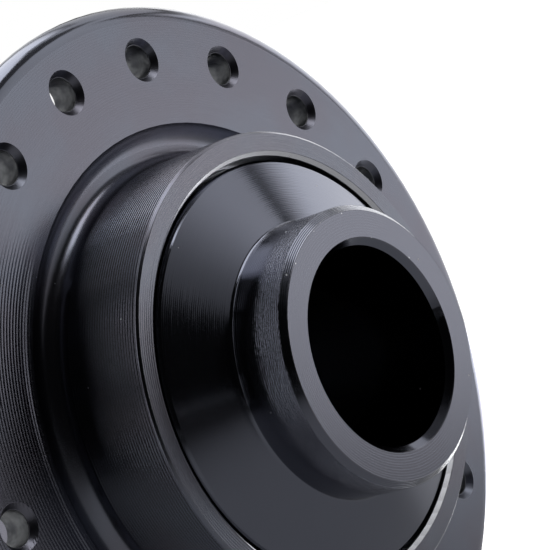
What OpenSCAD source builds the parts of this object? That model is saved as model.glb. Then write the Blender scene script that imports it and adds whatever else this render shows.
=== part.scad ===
// Front hub of a bicycle wheel for a disc brake and a through axle.
// The hub turns about Y. The disc brake side is at +Y and the plain side at -Y.
// Z is up, and the origin is on the axle line, midway between the end faces.
// Sizes are in millimetres. "Out" is a distance along Y from the hub's middle.

/* [Whole hub] */
// Width over the outer faces of the two end caps
over_end_faces = 100; // [96:0.5:112]
// How far an end face stands out past the open rim of its bearing housing
end_face_past_rim = 6.8; // [6.2:0.1:7.6]

/* [Flanges] */
// Diameter of the plain side's flange
right_flange_d = 61; // [57:0.5:66]
// Diameter of the disc side's flange
left_flange_d = 67; // [62:0.5:72]
// How far the plain side's flange lies inside its end face
right_flange_in = 15.9; // [15:0.1:18]
// How far the disc side's flange lies inside its end face
left_flange_in = 27.5; // [26.5:0.1:31]
// Thickness of each flange, which is also the diameter of its round edge
flange_w = 2.9; // [2.6:0.1:3.3]

/* [Spoke holes] */
// How far the hole centres lie inside the flange's edge
hole_in = 4.5; // [4:0.1:5]
// Spoke holes in each flange
hole_count = 18; // [14:1:20]
// Diameter of a spoke hole
hole_d = 2.6; // [2.3:0.1:2.9]
// Radial width of the countersink around a spoke hole, on the flange's outer face
hole_sink_w = 0.45; // [0.3:0.05:0.7]
// Depth of that countersink
hole_sink_depth = 0.55; // [0.3:0.05:0.8]
// Chamfer where a spoke hole leaves the flange's inner face
hole_back_edge = 0.1; // [0.05:0.05:0.3]

/* [Shell] */
// Wall of the plain side's bearing housing at its mouth
collar_wall = 1.85; // [1.5:0.05:2.6]
// Chamfer on the outer edge of a housing's rim
collar_edge = 0.2; // [0.1:0.05:0.4]
// Radial clearance of a bearing in the mouth in front of its seat
mouth_gap = 0.1; // [0.05:0.05:0.3]
// Chamfer on the inner edge of both rims
mouth_edge = 0.3; // [0.2:0.05:0.5]
// Radius of the round groove between the plain side's housing and its flange
root_r = 1.45; // [1.2:0.05:1.6]
// Depth of that groove below the flange's face
root_dip = 1.1; // [0.8:0.05:1.2]
// Wall of the barrel at its narrowest
barrel_wall = 2; // [1.6:0.1:3]
// Radial rise of the barrel from there to the flanges
barrel_rise = 3; // [2:0.1:3.6]
// Radius of the fillets between the barrel and the flanges
barrel_fillet = 2.5; // [1.5:0.1:3]
// Radial height of the shoulder that a bearing's outer ring seats on
seat_step = 1.7; // [1.4:0.1:2]
// Radial step from the bore beside a bearing down to the barrel's bore
bore_step = 1.1; // [0.6:0.1:1.6]
// Length of the bore beside a bearing before it tapers
seat_bore_l = 5; // [3:0.5:8]

/* [Disc mount] */
// How far the face that the brake rotor bolts to lies inside the end face
rotor_in = 10.5; // [10:0.1:11.2]
// Diameter of the spigot that centres the rotor
rotor_spigot_d = 34.9; // [34.8:0.05:36]
// Diameter of the circle of rotor bolts
rotor_bolt_circle = 44; // [43.5:0.5:46]
// Number of rotor bolts
rotor_bolt_count = 6; // [5:1:6]
// Tapping diameter of a rotor bolt's hole
rotor_bolt_d = 4.2; // [4:0.1:4.6]
// Depth of a rotor bolt's hole
rotor_bolt_depth = 8; // [6:0.5:8.5]
// How far the lobes reach past the circle of rotor bolts
lobe_reach = 4.6; // [4:0.1:5.2]
// Thickness of the lobes
lobe_w = 7.5; // [6:0.5:8.5]
// Radius of the scallops between the lobes
scallop_r = 8; // [6:0.5:9]
// Radial depth of the scallops
scallop_depth = 5; // [3:0.5:5.5]
// Wall of the neck behind the lobes, at the width of the bearing's seat
neck_wall = 4; // [3:0.1:4.5]
// Axial height of the cone that carries the lobes
lobe_cone_h = 3; // [2:0.5:3.5]
// Width of the relief groove around the rotor spigot
relief_w = 1; // [0.6:0.1:1.4]
// Depth of the relief groove
relief_depth = 0.5; // [0.3:0.1:0.8]

/* [Bearings] */
// Radial height of a bearing's section, from its bore to its outside
bearing_h = 6; // [5.4:0.1:6.7]
// Width of a bearing
bearing_w = 7; // [6.4:0.1:7.8]
// How deep a bearing's outer face lies inside the rim of its housing
bearing_sink = 3.5; // [3.2:0.1:4]
// Edge chamfer of the bearing rings
ring_edge = 0.3; // [0.2:0.05:0.4]
// Diameter of a ball
ball_d = 3.5; // [3.2:0.05:3.9]
// Balls in a bearing
ball_count = 12; // [9:1:13]
// Clearance between a ball and the ring grooves
race_gap = 0.04; // [0.02:0.01:0.08]
// Radial gap between the lands of the two rings
land_gap = 2.2; // [2:0.1:2.5]

/* [Ball cages] */
// Thickness of the cage's steel sheet
cage_sheet = 0.3; // [0.25:0.05:0.4]
// Radial clearance between the cage's ribbon and the lands
cage_gap = 0.35; // [0.25:0.05:0.5]
// Clearance between a ball and its pocket
pocket_gap = 0.05; // [0.03:0.01:0.1]
// Diameter of a rivet's shank
rivet_d = 0.6; // [0.5:0.05:0.7]
// How far a rivet's head reaches past its shank
rivet_head_lip = 0.2; // [0.15:0.05:0.3]
// Height of a rivet's head
rivet_head_h = 0.2; // [0.15:0.05:0.3]

/* [Bearing seals] */
// Radial depth of the seat that each seal is pressed into
seal_seat_depth = 0.5; // [0.4:0.05:0.7]
// Thickness of a seal
seal_t = 0.6; // [0.5:0.05:0.7]
// How far a seal lies below the bearing's face
seal_recess = 0.15; // [0.1:0.05:0.25]
// Radial clearance between a seal's lip and the inner ring
seal_gap = 0.05; // [0.03:0.01:0.09]
// Width of the ring pressed into the seal's face
seal_bead_w = 1; // [0.6:0.1:1.3]
// Depth of that ring
seal_bead_depth = 0.15; // [0.1:0.05:0.25]

/* [Axle tube] */
// Wall of the axle tube under the bearings
tube_wall = 1.3; // [1.1:0.05:1.6]
// Radial height of the shoulders that the bearings' inner rings seat on
tube_shoulder_h = 1; // [0.8:0.05:1.3]
// Length of each shoulder
tube_shoulder_l = 4; // [2:0.5:6]
// Radial depth of the relief between the shoulders
tube_relief = 0.8; // [0.4:0.05:1.2]
// How far each end of the tube lies inside its bearing's face
tube_end_gap = 0.2; // [0.1:0.05:0.4]
// Edge chamfer of the tube
tube_edge = 0.4; // [0.2:0.05:0.5]

/* [End caps] */
// Clear bore for the through axle
axle_bore_d = 15; // [13.5:0.05:15.4]
// Diameter of the nose that sits in the fork
nose_d = 21; // [19:0.1:22]
// Chamfer on the outer edge of the nose
nose_edge = 0.5; // [0.3:0.05:0.7]
// Chamfer at the mouth of the cap's bore
bore_edge = 0.5; // [0.3:0.05:0.7]
// Radius of the fillet at the foot of the nose
nose_fillet = 0.3; // [0.2:0.05:0.6]
// Running gap between the cap's rim and the mouth of the housing
cap_rim_gap = 0.35; // [0.25:0.05:0.6]
// How deep the cap's front edge lies inside the rim of the housing
cap_rim_sink = 0.2; // [0.1:0.1:0.8]
// Axial height of the cone from that edge to the foot of the nose
cap_cone_h = 2; // [1.6:0.1:2.5]
// Bevel on the edges of the cap's rim
cap_rim_bevel = 0.22; // [0.1:0.02:0.4]
// Clearance between the back of the cap and the bearing's outer ring
cap_back_gap = 0.4; // [0.3:0.05:0.6]
// Radial height of the boss that bears on the bearing's inner ring
cap_boss_h = 1.3; // [1:0.05:1.6]
// Wall of the cap's spigot
spigot_wall = 1.18; // [1.1:0.02:1.4]
// Length of the cap's spigot inside the axle tube
spigot_l = 8; // [7:0.5:10]
// Radial clearance between the spigot and the axle tube
spigot_gap = 0.02; // [0.01:0.005:0.04]
// Chamfer on the end of the spigot
spigot_edge = 0.4; // [0.2:0.05:0.6]

/* [Cap rings] */
// Thickness of the rubber ring that grips the axle tube
o_ring_w = 0.75; // [0.6:0.05:0.8]
// Radial clearance of the rubber ring in the axle tube
o_ring_gap = 0.01; // [0.01:0.005:0.03]
// Width of the ring's groove
o_groove_w = 1.1; // [0.9:0.05:1.3]
// How far in from the bearing's face the groove lies
o_groove_in = 4.2; // [3.5:0.1:5]

/* [Hidden] */

black_anodised = [0.13, 0.13, 0.15];
grey_anodised = [0.42, 0.43, 0.45];
bearing_steel = [0.72, 0.73, 0.75];
cage_steel = [0.62, 0.58, 0.5];
seal_rubber = [0.1, 0.1, 0.1];

round_fn = 96;
ball_fn = 48;
// Extra length of a cutting tool past the surface that it cuts
past = 1;
half_w = over_end_faces / 2;
hole_step = 360 / hole_count;
ball_step = 360 / ball_count;

// Places along the axle, counted out from the hub's middle
collar_out = half_w - end_face_past_rim;
bearing_out = collar_out - bearing_sink;
bearing_in = bearing_out - bearing_w;
bearing_mid = bearing_out - bearing_w / 2;
rotor_out = half_w - rotor_in;
right_flange_out = half_w - right_flange_in;
left_flange_out = half_w - left_flange_in;
barrel_y0 = flange_w / 2 - right_flange_out;
barrel_y1 = left_flange_out - flange_w / 2;
cap_rim_out = collar_out - cap_rim_sink;
nose_root_out = cap_rim_out + cap_cone_h;

// Radii, from the through axle outwards
spigot_r = axle_bore_d / 2 + spigot_wall;
tube_bore_r = spigot_r + spigot_gap;
o_ring_r = o_ring_w / 2;
o_ring_circle_r = tube_bore_r - o_ring_gap - o_ring_r;
bearing_bore_r = tube_bore_r + tube_wall;
tube_shoulder_r = bearing_bore_r + tube_shoulder_h;
inner_land_r = bearing_bore_r + (bearing_h - land_gap) / 2;
ball_r = ball_d / 2;
ball_circle_r = bearing_bore_r + bearing_h / 2;
outer_land_r = inner_land_r + land_gap;
cage_w = land_gap - 2 * cage_gap;
seal_seat_r = outer_land_r + seal_seat_depth;
bearing_r = bearing_bore_r + bearing_h;
seat_bore_r = bearing_r - seat_step;
barrel_bore_r = seat_bore_r - bore_step;
waist_r = barrel_bore_r + barrel_wall;
mouth_r = bearing_r + mouth_gap;
collar_r = mouth_r + collar_wall;
neck_r = bearing_r + neck_wall;
rotor_spigot_r = rotor_spigot_d / 2;
lobe_r = rotor_bolt_circle / 2 + lobe_reach;
cap_rim_r = mouth_r - cap_rim_gap;
cap_boss_r = bearing_bore_r + cap_boss_h;

// Turns a half section, drawn as [radius, out], about the hub's axis.
module turned() {
    rotate([-90, 0, 0])
        rotate_extrude($fn = round_fn)
            children();
}

// Places a piece that is drawn for the disc side on the plain side.
module on_right() {
    mirror([0, 1, 0])
        children();
}

// A cylinder along Y from y0 to y1.
module rod_y(y0, y1, r, r2) {
    translate([0, y0, 0])
        rotate([-90, 0, 0])
            cylinder(h = y1 - y0, r1 = r, r2 = is_undef(r2) ? r : r2, $fn = round_fn);
}

// Puts count copies on a circle about the hub's axis, the first at the angle start.
module round_about(count, circle_r, start = 0) {
    for (i = [0 : count - 1])
        rotate([0, -start - i * 360 / count, 0])
            translate([circle_r, 0, 0])
                children();
}

// A flange in half section: a flat web with a fully round edge.
module flange_section(out, d) {
    edge_r = flange_w / 2;
    translate([0, out - edge_r])
        square([d / 2 - edge_r, flange_w]);
    translate([d / 2 - edge_r, out])
        circle(r = edge_r, $fn = round_fn);
}

// The barrel between the flanges in half section. Its outline is one long hollow
// arc, which runs into a fillet on the inner face of each flange.
module barrel_section() {
    half_l = (barrel_y1 - barrel_y0) / 2;
    mid = (barrel_y0 + barrel_y1) / 2;
    arc_r = (half_l * half_l + barrel_rise * barrel_rise) / (2 * barrel_rise);
    arc_x = waist_r + arc_r;
    reach = arc_r - barrel_fillet;
    side = half_l - barrel_fillet;
    fillet_x = arc_x - sqrt(reach * reach - side * side);
    touch_side = side * arc_r / reach;
    difference() {
        translate([0, barrel_y0])
            square([fillet_x, 2 * half_l]);
        for (s = [-1, 1])
            translate([fillet_x, mid + s * side])
                circle(r = barrel_fillet, $fn = round_fn);
        intersection() {
            translate([arc_x, mid])
                circle(r = arc_r, $fn = 4 * round_fn);
            translate([0, mid - touch_side])
                square([fillet_x + past, 2 * touch_side]);
        }
    }
}

// The plain side's flange and bearing housing in half section, drawn towards +Y: a
// straight collar with a round groove cut into the flange's face at its foot.
module plain_side_section() {
    face = right_flange_out + flange_w / 2;
    groove_mid = face - root_dip + root_r;
    difference() {
        union() {
            flange_section(right_flange_out, right_flange_d);
            polygon([
                [0, right_flange_out],
                [collar_r + root_r, right_flange_out],
                [collar_r + root_r, groove_mid],
                [collar_r, groove_mid],
                [collar_r, collar_out - collar_edge],
                [collar_r - collar_edge, collar_out],
                [0, collar_out]
            ]);
        }
        translate([collar_r + root_r, groove_mid])
            circle(r = root_r, $fn = round_fn);
    }
}

// The neck, lobe disc and rotor spigot in half section.
module disc_side_section() {
    lobe_back = rotor_out - lobe_w;
    flange_face = left_flange_out + flange_w / 2;
    difference() {
        polygon([
            [0, left_flange_out],
            [neck_r, left_flange_out],
            [neck_r, lobe_back - lobe_cone_h],
            [lobe_r, lobe_back],
            [lobe_r, rotor_out - collar_edge],
            [lobe_r - collar_edge, rotor_out],
            [rotor_spigot_r, rotor_out],
            [rotor_spigot_r, collar_out - collar_edge],
            [rotor_spigot_r - collar_edge, collar_out],
            [0, collar_out]
        ]);
        translate([rotor_spigot_r, rotor_out - relief_depth])
            square([relief_w, relief_depth + past]);
    }
    translate([neck_r, flange_face])
        difference() {
            square([barrel_fillet, barrel_fillet]);
            translate([barrel_fillet, barrel_fillet])
                circle(r = barrel_fillet, $fn = round_fn);
        }
}

// Everything that is bored out of one end of the shell, in half section.
module housing_bore_section() {
    polygon([
        [0, 0],
        [barrel_bore_r, 0],
        [barrel_bore_r, bearing_in - seat_bore_l - bore_step],
        [seat_bore_r, bearing_in - seat_bore_l],
        [seat_bore_r, bearing_in],
        [bearing_r, bearing_in],
        [bearing_r, bearing_out],
        [mouth_r, bearing_out],
        [mouth_r, collar_out - mouth_edge],
        [mouth_r + mouth_edge + past, collar_out + past],
        [0, collar_out + past]
    ]);
}

// One spoke hole at the given distance out, with the countersink on its outer face
// and the chamfer on its inner one.
module spoke_hole(out) {
    face = flange_w / 2;
    bore_r = hole_d / 2;
    wide_r = bore_r + hole_sink_w * (1 + past / hole_sink_depth);
    rod_y(out - face - past, out + face + past, bore_r);
    rod_y(out + face - hole_sink_depth, out + face + past, bore_r, wide_r);
    rod_y(out - face - past, out - face + hole_back_edge, bore_r + past + hole_back_edge, bore_r);
}

module hub_shell() {
    lobe_back = rotor_out - lobe_w;
    scallop_x = lobe_r - scallop_depth + scallop_r;
    color(black_anodised)
        difference() {
            turned() {
                difference() {
                    union() {
                        barrel_section();
                        mirror([0, 1])
                            plain_side_section();
                        flange_section(left_flange_out, left_flange_d);
                        disc_side_section();
                    }
                    housing_bore_section();
                    mirror([0, 1])
                        housing_bore_section();
                }
            }
            on_right()
                round_about(hole_count, right_flange_d / 2 - hole_in)
                    spoke_hole(right_flange_out);
            round_about(hole_count, left_flange_d / 2 - hole_in, hole_step / 2)
                spoke_hole(left_flange_out);
            round_about(rotor_bolt_count, rotor_bolt_circle / 2, 90)
                rod_y(rotor_out - rotor_bolt_depth, rotor_out + past, rotor_bolt_d / 2);
            round_about(rotor_bolt_count, scallop_x, 90 + 180 / rotor_bolt_count)
                rod_y(lobe_back - lobe_cone_h, rotor_out + past, scallop_r);
        }
}

// The corners of one end of the axle tube's half section, from the middle outwards.
function tube_corners(shoulder_in, end) = [
    [tube_shoulder_r - tube_relief, shoulder_in - tube_relief],
    [tube_shoulder_r, shoulder_in],
    [tube_shoulder_r, bearing_in],
    [bearing_bore_r, bearing_in],
    [bearing_bore_r, end - tube_edge],
    [bearing_bore_r - tube_edge, end],
    [tube_bore_r + tube_edge, end],
    [tube_bore_r, end - tube_edge]
];

module axle_tube() {
    corners = tube_corners(bearing_in - tube_shoulder_l, bearing_out - tube_end_gap);
    last = len(corners) - 1;
    color(grey_anodised)
        turned()
            polygon(concat(
                corners,
                [for (i = [last : -1 : 0]) [corners[i][0], -corners[i][1]]]
            ));
}

// An end cap: a spigot with a ring groove, a boss on the bearing's inner ring, a
// conical cover with a bevelled rim, and the nose.
module end_cap() {
    bore_r = axle_bore_d / 2;
    nose_r = nose_d / 2;
    back = bearing_out + cap_back_gap;
    spigot_in = bearing_out - spigot_l;
    slope = atan2(nose_root_out - cap_rim_out, cap_rim_r - nose_r);
    fillet_run = nose_fillet * tan((90 - slope) / 2);
    color(black_anodised)
        turned()
            difference() {
                union() {
                    polygon([
                        [bore_r, spigot_in],
                        [spigot_r - spigot_edge, spigot_in],
                        [spigot_r, spigot_in + spigot_edge],
                        [spigot_r, bearing_out],
                        [cap_boss_r, bearing_out],
                        [cap_boss_r, back],
                        [cap_rim_r - cap_rim_bevel, back],
                        [cap_rim_r, back + cap_rim_bevel],
                        [cap_rim_r, cap_rim_out - cap_rim_bevel],
                        [cap_rim_r - cap_rim_bevel, cap_rim_out + cap_rim_bevel * tan(slope)],
                        [nose_r, nose_root_out],
                        [nose_r, half_w - nose_edge],
                        [nose_r - nose_edge, half_w],
                        [bore_r + bore_edge, half_w],
                        [bore_r, half_w - bore_edge]
                    ]);
                    difference() {
                        polygon([
                            [nose_r, nose_root_out],
                            [nose_r + fillet_run * cos(slope), nose_root_out - fillet_run * sin(slope)],
                            [nose_r + nose_fillet, nose_root_out + fillet_run],
                            [nose_r, nose_root_out + fillet_run]
                        ]);
                        translate([nose_r + nose_fillet, nose_root_out + fillet_run])
                            circle(r = nose_fillet, $fn = round_fn);
                    }
                }
                translate([o_ring_circle_r - o_ring_r, bearing_out - o_groove_in - o_groove_w / 2])
                    square([o_ring_w + past, o_groove_w]);
            }
}

module cap_o_ring() {
    color(seal_rubber)
        turned()
            translate([o_ring_circle_r, bearing_out - o_groove_in])
                circle(r = o_ring_r, $fn = ball_fn);
}

// The section of a bearing ring between two radii, with chamfers on the side that
// is pressed into its seat and the ball groove on the other.
module ring_section(seat_r, land_r) {
    s = sign(seat_r - land_r);
    y0 = bearing_in;
    y1 = bearing_out;
    difference() {
        polygon([
            [land_r, y0],
            [seat_r - s * ring_edge, y0],
            [seat_r, y0 + ring_edge],
            [seat_r, y1 - ring_edge],
            [seat_r - s * ring_edge, y1],
            [land_r, y1]
        ]);
        translate([ball_circle_r, bearing_mid])
            circle(r = ball_r + race_gap, $fn = ball_fn);
    }
}

module bearing_outer_ring() {
    seat = seal_recess + seal_t;
    color(bearing_steel)
        turned()
            difference() {
                ring_section(bearing_r, outer_land_r);
                translate([0, bearing_out - seat])
                    square([seal_seat_r, seat + past]);
                translate([0, bearing_in - past])
                    square([seal_seat_r, seat + past]);
            }
}

module bearing_inner_ring() {
    color(bearing_steel)
        turned()
            ring_section(bearing_bore_r, inner_land_r);
}

module bearing_balls() {
    color(bearing_steel)
        round_about(ball_count, ball_circle_r)
            translate([0, bearing_mid, 0])
                sphere(r = ball_r, $fn = ball_fn);
}

// A short rod that points straight out from the hub's axis, across the cage's ribbon.
module across_ribbon(r, extra = 0) {
    translate([-cage_w / 2 - extra, bearing_mid, 0])
        rotate([0, 90, 0])
            cylinder(h = cage_w + 2 * extra, r = r, $fn = ball_fn);
}

// One half of a ball cage: a ribbon pressed into an arch over each ball, with a
// rivet hole in each flat. The half that faces out is drawn.
module cage_half() {
    pocket_r = ball_r + pocket_gap;
    arch_r = pocket_r + cage_sheet;
    color(cage_steel)
        difference() {
            union() {
                turned()
                    translate([ball_circle_r - cage_w / 2, bearing_mid])
                        square([cage_w, cage_sheet]);
                round_about(ball_count, ball_circle_r)
                    across_ribbon(arch_r);
            }
            rod_y(bearing_mid - arch_r - past, bearing_mid, ball_circle_r + arch_r);
            round_about(ball_count, ball_circle_r)
                across_ribbon(pocket_r, past);
            round_about(ball_count, ball_circle_r, ball_step / 2)
                rod_y(bearing_mid - past, bearing_mid + cage_sheet + past, rivet_d / 2);
        }
}

module bearing_rivets() {
    head_in = bearing_mid - cage_sheet;
    head_out = bearing_mid + cage_sheet;
    head_r = rivet_d / 2 + rivet_head_lip;
    color(cage_steel)
        round_about(ball_count, ball_circle_r, ball_step / 2) {
            rod_y(head_in, head_out, rivet_d / 2);
            rod_y(head_out, head_out + rivet_head_h, head_r);
            rod_y(head_in - rivet_head_h, head_in, head_r);
        }
}

// A bearing seal, drawn for the face that points out: a rubber washer with a ring
// pressed into its face and a lip that tapers towards the inner ring.
module bearing_seal() {
    lip_r = inner_land_r + seal_gap;
    face = bearing_out - seal_recess;
    back = face - seal_t;
    bead_r = (lip_r + seal_seat_r) / 2;
    color(seal_rubber)
        turned()
            difference() {
                polygon([
                    [lip_r, back + seal_t / 3],
                    [lip_r + seal_t / 2, back],
                    [seal_seat_r, back],
                    [seal_seat_r, face],
                    [lip_r + seal_t / 2, face],
                    [lip_r, back + 2 * seal_t / 3]
                ]);
                translate([bead_r - seal_bead_w / 2, face - seal_bead_depth])
                    square([seal_bead_w, seal_bead_depth + past]);
            }
}

// Turns a piece of a bearing's outer side round to its inner side.
module facing_in() {
    translate([0, 2 * bearing_mid, 0])
        mirror([0, 1, 0])
            children();
}

hub_shell();
axle_tube();
on_right() end_cap();  // right_end_cap
on_right() cap_o_ring();  // right_cap_o_ring
on_right() bearing_outer_ring();  // right_bearing_outer_ring
on_right() bearing_inner_ring();  // right_bearing_inner_ring
on_right() bearing_balls();  // right_bearing_balls
on_right() bearing_rivets();  // right_bearing_rivets
on_right() cage_half();  // right_cage_outer_half
on_right() facing_in() cage_half();  // right_cage_inner_half
on_right() bearing_seal();  // right_bearing_outer_seal
on_right() facing_in() bearing_seal();  // right_bearing_inner_seal
end_cap();  // left_end_cap
cap_o_ring();  // left_cap_o_ring
bearing_outer_ring();  // left_bearing_outer_ring
bearing_inner_ring();  // left_bearing_inner_ring
bearing_balls();  // left_bearing_balls
bearing_rivets();  // left_bearing_rivets
cage_half();  // left_cage_outer_half
facing_in() cage_half();  // left_cage_inner_half
bearing_seal();  // left_bearing_outer_seal
facing_in() bearing_seal();  // left_bearing_inner_seal
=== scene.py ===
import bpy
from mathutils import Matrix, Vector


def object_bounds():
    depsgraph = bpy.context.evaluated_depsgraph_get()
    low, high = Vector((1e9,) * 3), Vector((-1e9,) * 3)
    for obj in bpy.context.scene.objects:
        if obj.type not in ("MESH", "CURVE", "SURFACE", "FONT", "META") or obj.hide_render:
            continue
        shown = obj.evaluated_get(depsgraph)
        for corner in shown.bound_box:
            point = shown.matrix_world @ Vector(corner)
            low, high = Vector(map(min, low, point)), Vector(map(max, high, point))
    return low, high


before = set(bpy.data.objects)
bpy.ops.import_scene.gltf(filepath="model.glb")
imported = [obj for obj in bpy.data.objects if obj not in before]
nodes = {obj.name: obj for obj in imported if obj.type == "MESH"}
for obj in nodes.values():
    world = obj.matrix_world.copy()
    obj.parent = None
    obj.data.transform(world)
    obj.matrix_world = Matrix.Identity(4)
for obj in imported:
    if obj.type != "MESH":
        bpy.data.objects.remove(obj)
cad_box = [list(corner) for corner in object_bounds()]

from math import cos, pi, radians, sin

import bpy
from mathutils import Matrix, Vector

# The camera stands close to the plain end of the hub, a little above the axle, and is
# rolled over, so that the nose points down to the lower right of the picture.
mm = 0.001
eye = Vector((-130.1, -156.5, 25.9)) * mm
heading, dip, roll = radians(48.93), radians(6.17), radians(23.58)
camera = bpy.data.objects.new("camera", bpy.data.cameras.new("camera"))
camera.data.lens = 154
camera.data.sensor_width = 36
camera.data.clip_start = 0.01
camera.data.clip_end = 20
camera.matrix_world = (
    Matrix.Translation(eye)
    @ Matrix.Rotation(-heading, 4, "Z")
    @ Matrix.Rotation(pi / 2 - dip, 4, "X")
    @ Matrix.Rotation(-roll, 4, "Z")
)
bpy.context.collection.objects.link(camera)
bpy.context.scene.camera = camera
bpy.context.scene.view_settings.view_transform = "Standard"


# The studio is a white room with a pale floor. A black screen that curves overhead stands
# in front and to the left, and gives the black metal its dark side. Soft boxes give it its
# light edges, and cards on the floor shade or light what it mirrors from below.
class Shade:
    """A socket of a shader's node tree, on which plain arithmetic works."""

    def __init__(self, tree, socket=None):
        self.tree, self.socket = tree, socket

    def add(self, kind, settings, output, **inputs):
        """The output of a new node. An input's name is its socket's, or _ and a number."""
        made = self.tree.nodes.new("ShaderNode" + kind)
        for name, value in settings.items():
            setattr(made, name, value)
        for name, value in inputs.items():
            key = int(name[1:]) if name[0] == "_" else name.replace("_", " ")
            if isinstance(value, Shade):
                self.tree.links.new(value.socket, made.inputs[key])
            else:
                made.inputs[key].default_value = value
        return Shade(self.tree, made.outputs[output])

    def maths(self, operation, *others):
        inputs = {f"_{i + 1}": other for i, other in enumerate(others)}
        return self.add("Math", {"operation": operation}, 0, _0=self, **inputs)

    def __add__(self, other): return self.maths("ADD", other)
    def __mul__(self, other): return self.maths("MULTIPLY", other)
    def __sub__(self, other): return self.maths("SUBTRACT", other)
    def __truediv__(self, other): return self.maths("DIVIDE", other)
    __radd__, __rmul__ = __add__, __mul__
    def __rsub__(self, other): return (self * -1) + other

    def step(self, low, high):
        """0 below low and 1 above high, with a soft passage between them."""
        return self.add("MapRange", {"interpolation_type": "SMOOTHSTEP"}, 0,
                        Value=self, From_Min=low, From_Max=high, To_Min=0.0, To_Max=1.0)

    def near(self, middle, half, soft):
        """1 within half of the middle, fading to 0 over the width soft."""
        return 1 - (self - middle).maths("ABSOLUTE").step(half, half + soft)

    def blend(self, low, high):
        """The colour low where this is 0, and the colour high where it is 1."""
        low, high = (c if isinstance(c, Shade) else (*c, 1) for c in (low, high))
        return self.add("Mix", {"data_type": "RGBA"}, 2, _0=self, _6=low, _7=high)


def new_material(name):
    material = bpy.data.materials.new(name)
    material.use_nodes = True
    return material, Shade(material.node_tree), material.node_tree.nodes["Principled BSDF"]


def plug(tree, value, socket):
    tree.links.new(value.socket, socket)


def stand(name, points, faces, material):
    mesh = bpy.data.meshes.new(name)
    mesh.from_pydata(points, [], faces)
    mesh.materials.append(material)
    piece = bpy.data.objects.new(name, mesh)
    bpy.context.collection.objects.link(piece)
    return piece


world = bpy.data.worlds.new("white_room")
world.use_nodes = True
world.node_tree.nodes["Background"].inputs["Color"].default_value = (1, 1, 1, 1)
world.node_tree.nodes["Background"].inputs["Strength"].default_value = 1
bpy.context.scene.world = world

# The floor is lifted to white where the camera, metal or glass sees it, and keeps the
# hub's shadow.
floor_z = cad_box[0][2]
half_floor = 4
floor_paint, sh, paint = new_material("floor_paint")
paint.inputs["Base Color"].default_value = (0.86, 0.86, 0.86, 1)
paint.inputs["Roughness"].default_value = 0.9
paint.inputs["Specular IOR Level"].default_value = 0.1
rays = [sh.add("LightPath", {}, f"Is {kind} Ray")
        for kind in ("Camera", "Glossy", "Transmission")]
seen = (rays[0] + rays[1] + rays[2]).maths("MINIMUM", 1.0)
lift = sh.add("Emission", {}, 0, Color=(1, 1, 1, 1), Strength=seen * 0.5)
both = sh.add("AddShader", {}, 0, _0=Shade(sh.tree, paint.outputs[0]), _1=lift)
plug(sh.tree, both, sh.tree.nodes["Material Output"].inputs["Surface"])
stand("floor", [(x * half_floor, y * half_floor, floor_z)
                for x, y in ((-1, -1), (1, -1), (1, 1), (-1, 1))],
      [(0, 1, 2, 3)], floor_paint)


def between(ends, share):
    return ends[0] + (ends[1] - ends[0]) * share


def round_hub(turns, rises, distance):
    """Where a curved card lies: turns are degrees from straight in front, which is -Y,
    towards +X, and rises are degrees above level."""
    def place(across, up):
        turn, rise = radians(between(turns, across)), radians(between(rises, up))
        out = distance * cos(rise)
        return (out * sin(turn), -out * cos(turn), distance * sin(rise))
    return place


def overhead(xs, ys):
    """Where a level card over the hub lies, in metres."""
    return lambda across, up: (between(xs, across), between(ys, up), 0.75)


def on_floor(turns, distances, height):
    """Where a card on the floor lies: its turns as above, its distances from the hub's
    middle, and its height above the floor."""
    def place(across, up):
        x, y, _ = round_hub(turns, (0, 0), between(distances, up))(across, up)
        return (x, y, floor_z + height)
    return place


def card(name, place, strength, light=None):
    """A card of which place(across, up) is a point. It gives off its strength times
    light(across, up), or even light. No card is in the picture."""
    material, sh, body = new_material(name)
    body.inputs["Base Color"].default_value = (0, 0, 0, 1)
    body.inputs["Specular IOR Level"].default_value = 0
    body.inputs["Emission Color"].default_value = (1, 1, 1, 1)
    body.inputs["Emission Strength"].default_value = strength
    if light:
        flat = sh.add("TexCoord", {}, "UV")
        across, up = (sh.add("SeparateXYZ", {}, axis, Vector=flat) for axis in "XY")
        plug(sh.tree, light(across, up), body.inputs["Emission Color"])
    count = 20
    corners = [(i / count, j / count) for j in range(count + 1) for i in range(count + 1)]
    row = count + 1
    faces = [(j * row + i, j * row + i + 1, (j + 1) * row + i + 1, (j + 1) * row + i)
             for j in range(count) for i in range(count)]
    piece = stand(name, [place(*corner) for corner in corners], faces, material)
    layer = piece.data.uv_layers.new(name="card")
    for loop in piece.data.loops:
        layer.data[loop.index].uv = corners[loop.vertex_index]
    piece.visible_camera = False
    return piece


card("black_screen", round_hub((-97, 14), (-2.1, 88), distance=0.9), strength=0.006)
card("grey_screen", round_hub((14, 68), (4, 70), distance=0.9), 1.05,
     lambda across, up: (0.2 + across.step(0.0, 0.65) * 0.8)
     * (1 - up.step(0.45, 0.53) * 0.88))
card("right_soft_box", round_hub((56, 130), (-2.2, 28), distance=0.85), 2.1,
     lambda across, up: across.near(0.5, 0.3, 0.2) * up.near(0.4, 0.3, 0.3))
card("left_soft_box", round_hub((-140, -97), (18, 64), distance=0.85), 1.3,
     lambda across, up: across.near(0.5, 0.3, 0.2) * up.near(0.5, 0.3, 0.2))
card("top_soft_box", overhead((0, 0.75), (-0.1, 0.75)), 3.0,
     lambda across, up: across.step(0.0, 0.1) * (1 - across.step(0.7, 1.0))
     * (1 - up.step(0.7, 1.0)))
card("front_soft_box", overhead((0, 0.5), (-0.65, -0.1)), 2.8,
     lambda across, up: (1 - across.step(0.8, 1.0)) * (0.5 + up.step(0.35, 0.55) * 0.5))

floor_strength = 1.4


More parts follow.
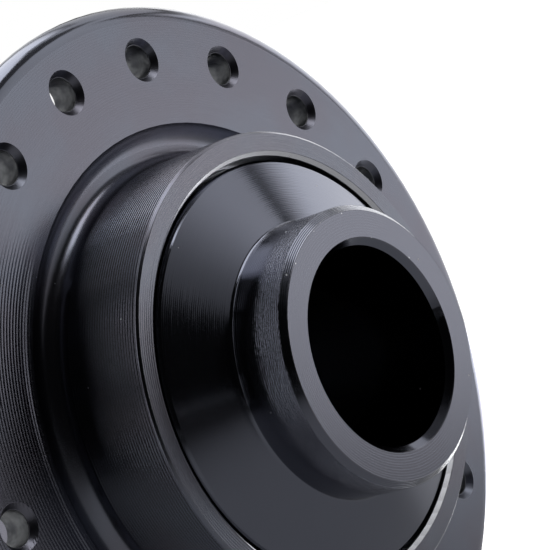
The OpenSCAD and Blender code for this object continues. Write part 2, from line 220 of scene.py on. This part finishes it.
def floor_greys(across, up):
    """Dark grey on the left and near the hub, and light grey on the right."""
    left = 0.03 + (1 - up.step(0.05, 0.35)) * 0.3
    right = 0.62 + up.step(0.07, 0.2) * 0.7
    share = across.step(0.7, 0.8)
    return (left * (1 - share) + right * share) / floor_strength


# The two cards on the floor are seen only in the metal, so the floor's own light and the
# hub's shadow stay as they are. The second lights the flange's right edge.
floor_cards = [
    card("grey_floor_card", on_floor((-97, 80), (0.04, 0.84), 1 * mm), floor_strength,
         floor_greys),
    card("edge_light_card", on_floor((50, 115), (0.04, 0.16), 2 * mm), 4.0,
         lambda across, up: across.near(0.5, 0.42, 0.08) * up.near(0.5, 0.4, 0.1)),
]
for piece in floor_cards:
    piece.visible_diffuse = False
    piece.visible_shadow = False


class Turned:
    """Where a point lies on a piece turned about Y: its radius and its place along Y,
    both in millimetres, and a direction round the axis in degrees."""

    def __init__(self, sh):
        self.sh = sh
        self.place = sh.add("TexCoord", {}, "Object")
        split = [sh.add("SeparateXYZ", {}, axis, Vector=self.place) for axis in "XYZ"]
        self.x, self.y, self.z = (part * 1000.0 for part in split)
        self.r = (self.x * self.x + self.z * self.z).maths("SQRT")
        self.turn = self.z.maths("ARCTAN2", self.x) * (180 / pi)

    def feed(self, pitch):
        """The ridges that a lathe tool leaves at each turn of the work, 0 to 1 high."""
        along = self.r - self.y.maths("ABSOLUTE")
        return (along * (2 * pi / pitch)).maths("SINE") * 0.5 + 0.5

    def rings(self, fineness, length):
        """Uneven lathe lines: fine along the section, and long round the axis."""
        vector = self.sh.add("CombineXYZ", {}, 0, X=self.r * fineness,
                             Y=self.x / self.r * length, Z=self.z / self.r * length)
        return self.sh.add("TexNoise", {"noise_dimensions": "4D"}, 0, Vector=vector,
                           W=self.y * fineness, Scale=1.0, Detail=2.0, Roughness=0.65)

    def grain(self, per_mm):
        return self.sh.add("TexNoise", {}, 0, Vector=self.place, Scale=per_mm * 1000.0,
                           Detail=2.0, Roughness=0.6)

    def specks(self, per_mm, size, share):
        """Dust or pits: small spots in a share of the cells of a loose grid."""
        cells = {"Vector": self.place, "Scale": per_mm * 1000.0}
        spot = self.sh.add("TexVoronoi", {}, "Distance", **cells)
        lot = self.sh.add("TexVoronoi", {}, "Color", **cells)
        chance = self.sh.add("SeparateColor", {}, 0, Color=lot)
        return (1 - spot.step(size * 0.6, size)) * chance.maths("GREATER_THAN", 1 - share)


def bump(sh, height, depth, under=None):
    """Raises the surface by height times depth, which is in millimetres."""
    more = {"Normal": under} if under else {}
    return sh.add("Bump", {}, 0, Strength=1.0, Distance=depth * mm, Height=height, **more)


def near_holes(at, count, first, circle_r):
    """The distance in millimetres from the axis of the nearest hole in a circle of holes.
    first is the turn of one of them, in degrees."""
    step = 360 / count
    fold = ((at.turn - first + 720.0) / step + 0.5).maths("FRACT") - 0.5
    along = fold * radians(step)
    side = at.r * along.maths("SINE")
    out = at.r * along.maths("COSINE") - circle_r
    return (side * side + out * out).maths("SQRT")


def dress(material, *names):
    for name in names:
        for slot in nodes[name].material_slots:
            slot.material = material


# Sizes in millimetres: distances out from the hub's middle along its axis, then radii.
# The collar is the bearing housing's outside. groove_r is the outer edge of the groove at
# its foot, and round_edge_r is where the flange's edge starts to round.
rim_out, mouth_edge_out, face_out, seat_in = 43.2, 42.9, 35.55, 32
mouth_r, mouth_edge_r, collar_r, groove_r, round_edge_r = 16.1, 16.4, 17.95, 20.85, 29.05
spoke_hole_r, sink_r, bolt_hole_r, thread_pitch = 1.3, 1.75, 2.1, 0.8
# Circles of holes: how many, the turn of one of them, and the circle's radius.
right_spokes, left_spokes, bolts = (18, 0, 26.0), (18, 10, 29.0), (6, 90, 22.0)
speck_colour = (0.5, 0.5, 0.52)

shell_metal, sh, body = new_material("black_anodised_shell")
at = Turned(sh)
out = at.y * -1.0

# Where the faces of the plain side lie, and the bare seats of both bearings.
on_collar = at.r.near(collar_r, 0.03, 0.03) * out.step(face_out + 0.35, face_out + 0.45)
on_rim_face = out.step(rim_out - 0.08, rim_out - 0.03)
on_mouth = ((1 - at.r.step(mouth_edge_r - 0.02, mouth_edge_r + 0.02))
            * out.step(mouth_edge_out - 0.04, mouth_edge_out + 0.02))
seats = ((1 - at.r.step(mouth_r + 0.02, mouth_r + 0.06))
         * at.y.maths("ABSOLUTE").step(seat_in, seat_in + 0.3))
bare = (on_mouth + seats).maths("MINIMUM", 1.0)
on_face = (at.r.step(groove_r - 0.05, groove_r + 0.35)
           * out.step(face_out - 0.25, face_out - 0.1))
on_round_edge = at.r.step(round_edge_r, round_edge_r + 0.35) * (1 - at.y.step(-32, -31))

# Where the holes lie. The spokes' are past the barrel, and the bolts' on the disc side.
right_half = 1 - at.y.step(-10, 10)
past_barrel = at.r.step(23, 23.5)
spoke_distance = (near_holes(at, *right_spokes) * right_half
                  + near_holes(at, *left_spokes) * (1 - right_half))
in_spoke_hole = ((1 - spoke_distance.step(spoke_hole_r + 0.01, spoke_hole_r + 0.06))
                 * past_barrel)
in_sink = ((1 - spoke_distance.step(sink_r + 0.01, sink_r + 0.05)) * past_barrel
           - in_spoke_hole)
in_bolt_hole = ((1 - near_holes(at, *bolts).step(bolt_hole_r + 0.02, bolt_hole_r + 0.1))
                * at.y.step(30, 31))

# Colour: the dye is a little uneven, thin on the rim's face, and knocked off at nicks.
scratch = at.rings(7.0, 4.0)
fine = at.grain(11.0)
cloud = at.grain(0.12)
drilled = at.grain(0.9)
dust = at.specks(0.55, 0.05, 0.25)
rim_edges = at.r.near(collar_r - 0.1, 0.12, 0.05) + at.r.near(mouth_edge_r, 0.1, 0.05)
nick = at.specks(1.6, 0.12, 0.3) * rim_edges * on_rim_face
tint = cloud.step(0.35, 0.65).blend((0.158, 0.156, 0.188), (0.160, 0.170, 0.208))
tint = (on_rim_face * fine.step(0.35, 0.75) * 0.35).blend(tint, (0.3, 0.3, 0.32))
# Inside the spoke holes the colour is mottled and darker than the shell: the mottling is the
# drilled wall's own, and the darkness is painted shade in the holes.
hole_tone_and_painted_shade = drilled.step(0.3, 0.7).blend((0.05, 0.052, 0.058), (0.15, 0.155, 0.162))
tint = in_spoke_hole.blend(tint, hole_tone_and_painted_shade)
tint = bare.blend(tint, (0.70, 0.71, 0.76))
tint = (dust * 0.7 + nick).maths("MINIMUM", 1.0).blend(tint, speck_colour)
plug(sh.tree, tint, body.inputs["Base Color"])
body.inputs["Metallic"].default_value = 1

rough = 0.17 + 0.06 * scratch + 0.05 * fine
rough = (rough * (1 - in_spoke_hole) + (0.3 + 0.3 * drilled) * in_spoke_hole
         + 0.12 * in_sink)
rough = (rough - 0.08 * on_round_edge).maths("MAXIMUM", 0.08)
plug(sh.tree, rough + 0.4 * dust, body.inputs["Roughness"])

# Relief: feed marks, which are deepest on the collar and on one side of the flange's
# face. That side has a low lip beside the groove.
deep = on_face * (1 - at.x.step(-18.5, -13))
relief = bump(sh, at.feed(0.2), 0.006 * on_rim_face * (0.3 + scratch) + 0.0006 * on_face)
relief = bump(sh, at.feed(0.27), 0.01 * deep, relief)
lip = 1 - at.r.step(groove_r + 0.35, groove_r + 0.9)
relief = bump(sh, lip, 0.05 * deep, relief)
relief = bump(sh, at.feed(0.26), on_collar * (0.033 + 0.01 * scratch), relief)
relief = bump(sh, scratch, 0.0025 * on_rim_face + 0.001 * on_collar + 0.0006, relief)
# The mouth's chamfer is shaded flatter than it is, most of all at the bottom, so that it
# shines there.
low = 1 - at.z.step(-12, 0)
flatter = (at.r - (mouth_r + mouth_edge_r) / 2) * (-0.45 - 0.85 * low) * on_mouth
relief = bump(sh, flatter, 1.0, relief)
thread = (at.y * (2 * pi / thread_pitch)).maths("SINE") * in_bolt_hole
relief = bump(sh, thread, 0.12, relief)
relief = bump(sh, drilled * in_spoke_hole, 0.08, relief)
relief = bump(sh, fine, 0.0004 + 0.003 * in_spoke_hole, relief)
plug(sh.tree, relief, body.inputs["Normal"])
dress(shell_metal, "hub_shell")


# The axle tube is an aluminium sleeve, turned and anodised grey. The bearings' inner
# rings are a slide fit on its ends and seat on its two shoulders.
tube_metal, sh, body = new_material("grey_anodised_tube")
at = Turned(sh)
line, fine, cloud = at.rings(20.0, 4.0), at.grain(9.0), at.grain(0.2)
tint = cloud.blend((0.36, 0.37, 0.39), (0.46, 0.47, 0.49))
plug(sh.tree, tint, body.inputs["Base Color"])
body.inputs["Metallic"].default_value = 1
plug(sh.tree, 0.24 + 0.1 * line + 0.05 * fine, body.inputs["Roughness"])
relief = bump(sh, line, 0.004, bump(sh, at.feed(0.12), 0.0012))
plug(sh.tree, relief, body.inputs["Normal"])
dress(tube_metal, "axle_tube")


# The bearing rings are hardened steel, ground all over: the faces and seats with fine
# lines round the axis, and the ball grooves polished.
sides = ("right", "left")
ball_circle_r, ball_plane_out = 13.0, 36.2
ring_steel, sh, body = new_material("ground_steel_rings")
at = Turned(sh)
line, film = at.rings(45.0, 3.0), at.grain(0.35)
tint = film.blend((0.52, 0.52, 0.53), (0.64, 0.64, 0.65))
plug(sh.tree, tint, body.inputs["Base Color"])
body.inputs["Metallic"].default_value = 1
in_groove = (at.r.near(ball_circle_r, 1.1, 0.05)
             * at.y.maths("ABSOLUTE").near(ball_plane_out, 1.7, 0.1))
rough = (0.24 + 0.12 * line + 0.05 * film) * (1 - 0.6 * in_groove)
plug(sh.tree, rough, body.inputs["Roughness"])
plug(sh.tree, bump(sh, line, 0.002), body.inputs["Normal"])
for side in sides:
    dress(ring_steel, f"{side}_bearing_outer_ring", f"{side}_bearing_inner_ring")


# The balls are hardened chrome steel, lapped to a mirror, with a thin film of grease.
# Twelve run in each bearing, held apart by the cage.
ball_steel, sh, body = new_material("lapped_steel_balls")
at = Turned(sh)
film = at.grain(0.9)
plug(sh.tree, film.blend((0.66, 0.66, 0.67), (0.74, 0.73, 0.70)), body.inputs["Base Color"])
body.inputs["Metallic"].default_value = 1
plug(sh.tree, 0.04 + 0.12 * film.step(0.45, 0.7), body.inputs["Roughness"])
plug(sh.tree, bump(sh, at.grain(3.0), 0.0015), body.inputs["Normal"])
for side in sides:
    dress(ball_steel, f"{side}_bearing_balls")


# The cages are two halves of pressed steel ribbon, bent round the balls. Rivets of the
# same steel join the halves between the balls.
cage_steel, sh, body = new_material("pressed_steel_cages")
at = Turned(sh)
stain, fine = at.grain(0.5), at.grain(7.0)
plug(sh.tree, stain.blend((0.42, 0.39, 0.33), (0.58, 0.54, 0.46)), body.inputs["Base Color"])
body.inputs["Metallic"].default_value = 1
plug(sh.tree, 0.3 + 0.15 * stain + 0.1 * fine, body.inputs["Roughness"])
plug(sh.tree, bump(sh, fine, 0.008), body.inputs["Normal"])
for side in sides:
    dress(cage_steel, f"{side}_cage_outer_half", f"{side}_cage_inner_half",
          f"{side}_bearing_rivets")


# Each bearing has two seals of black rubber, moulded on a steel washer. A seal snaps
# into the outer ring, and its lip runs against the inner one.
seal_rubber, sh, body = new_material("moulded_seal_rubber")
at = Turned(sh)
bloom, fine = at.grain(0.6), at.grain(16.0)
tint = bloom.blend((0.012, 0.012, 0.013), (0.03, 0.03, 0.032))
plug(sh.tree, tint, body.inputs["Base Color"])
plug(sh.tree, 0.42 + 0.2 * bloom + 0.1 * fine, body.inputs["Roughness"])
relief = bump(sh, fine, 0.003, bump(sh, at.rings(12.0, 2.0), 0.004))
plug(sh.tree, relief, body.inputs["Normal"])
for side in sides:
    dress(seal_rubber, f"{side}_bearing_outer_seal", f"{side}_bearing_inner_seal")


# The end caps are turned from aluminium and anodised black. They push into the axle
# tube by hand, cover the bearings, and carry the noses that sit in the fork.
cone_in, cone_out, end_out = 43.0, 45.0, 50.0
nose_r, nose_edge, bore_edge_r = 10.5, 0.5, 8.0
cap_metal, sh, body = new_material("black_anodised_caps")
at = Turned(sh)
out = at.y.maths("ABSOLUTE")
on_nose_side = at.r.near(nose_r, 0.03, 0.03) * out.step(cone_out, cone_out + 0.3)
on_end_face = out.step(end_out - 0.1, end_out - 0.04)
on_cone = (out.near((cone_in + cone_out) / 2, (cone_out - cone_in) / 2, 0.1)
           * at.r.step(nose_r + 0.4, nose_r + 0.6))
on_nose_edge = (at.r.near(nose_r - nose_edge / 2, 0.26, 0.04)
                * out.near(end_out - nose_edge / 2, 0.24, 0.03))
scratch, hatch = at.rings(7.0, 4.0), at.rings(9.0, 22.0)
fine, cloud = at.grain(9.0), at.grain(0.15)
dust = at.specks(0.5, 0.05, 0.3)
face_edges = (at.r.near(nose_r - nose_edge - 0.02, 0.1, 0.05)
              + at.r.near(bore_edge_r + 0.02, 0.1, 0.05))
nick = at.specks(1.9, 0.14, 0.35) * face_edges * on_end_face
tint = cloud.blend((0.133, 0.141, 0.176), (0.153, 0.160, 0.197))
tint = (on_end_face * (0.2 + 0.5 * fine)).blend(tint, (0.205, 0.205, 0.24))
tint = (dust * 0.7 + nick).maths("MINIMUM", 1.0).blend(tint, speck_colour)
plug(sh.tree, tint, body.inputs["Base Color"])
body.inputs["Metallic"].default_value = 1
rough = 0.08 + 0.05 * scratch + 0.03 * fine + 0.08 * on_end_face
plug(sh.tree, rough + 0.4 * dust, body.inputs["Roughness"])
ridges = (0.02 * on_nose_edge + 0.006 * on_nose_side + 0.001 * on_cone
          + 0.0014 * on_end_face)
relief = bump(sh, at.feed(0.2), ridges)
relief = bump(sh, scratch, 0.004 * on_cone + 0.002 * on_end_face + 0.0006, relief)
relief = bump(sh, hatch + fine, 0.035 * on_nose_side * out.step(46.8, 48.0), relief)
relief = bump(sh, fine, 0.0007 + 0.0015 * on_end_face, relief)
plug(sh.tree, relief, body.inputs["Normal"])
for side in sides:
    dress(cap_metal, f"{side}_end_cap")


# A rubber ring sits in the groove of each cap's spigot and grips the axle tube, so that
# the cap stays on until it is pulled.
ring_rubber, sh, body = new_material("ring_rubber")
at = Turned(sh)
tint = at.grain(1.2).blend((0.010, 0.010, 0.011), (0.022, 0.022, 0.024))
plug(sh.tree, tint, body.inputs["Base Color"])
plug(sh.tree, 0.32 + 0.2 * at.grain(5.0), body.inputs["Roughness"])
plug(sh.tree, bump(sh, at.grain(9.0), 0.004), body.inputs["Normal"])
for side in sides:
    dress(ring_rubber, f"{side}_cap_o_ring")
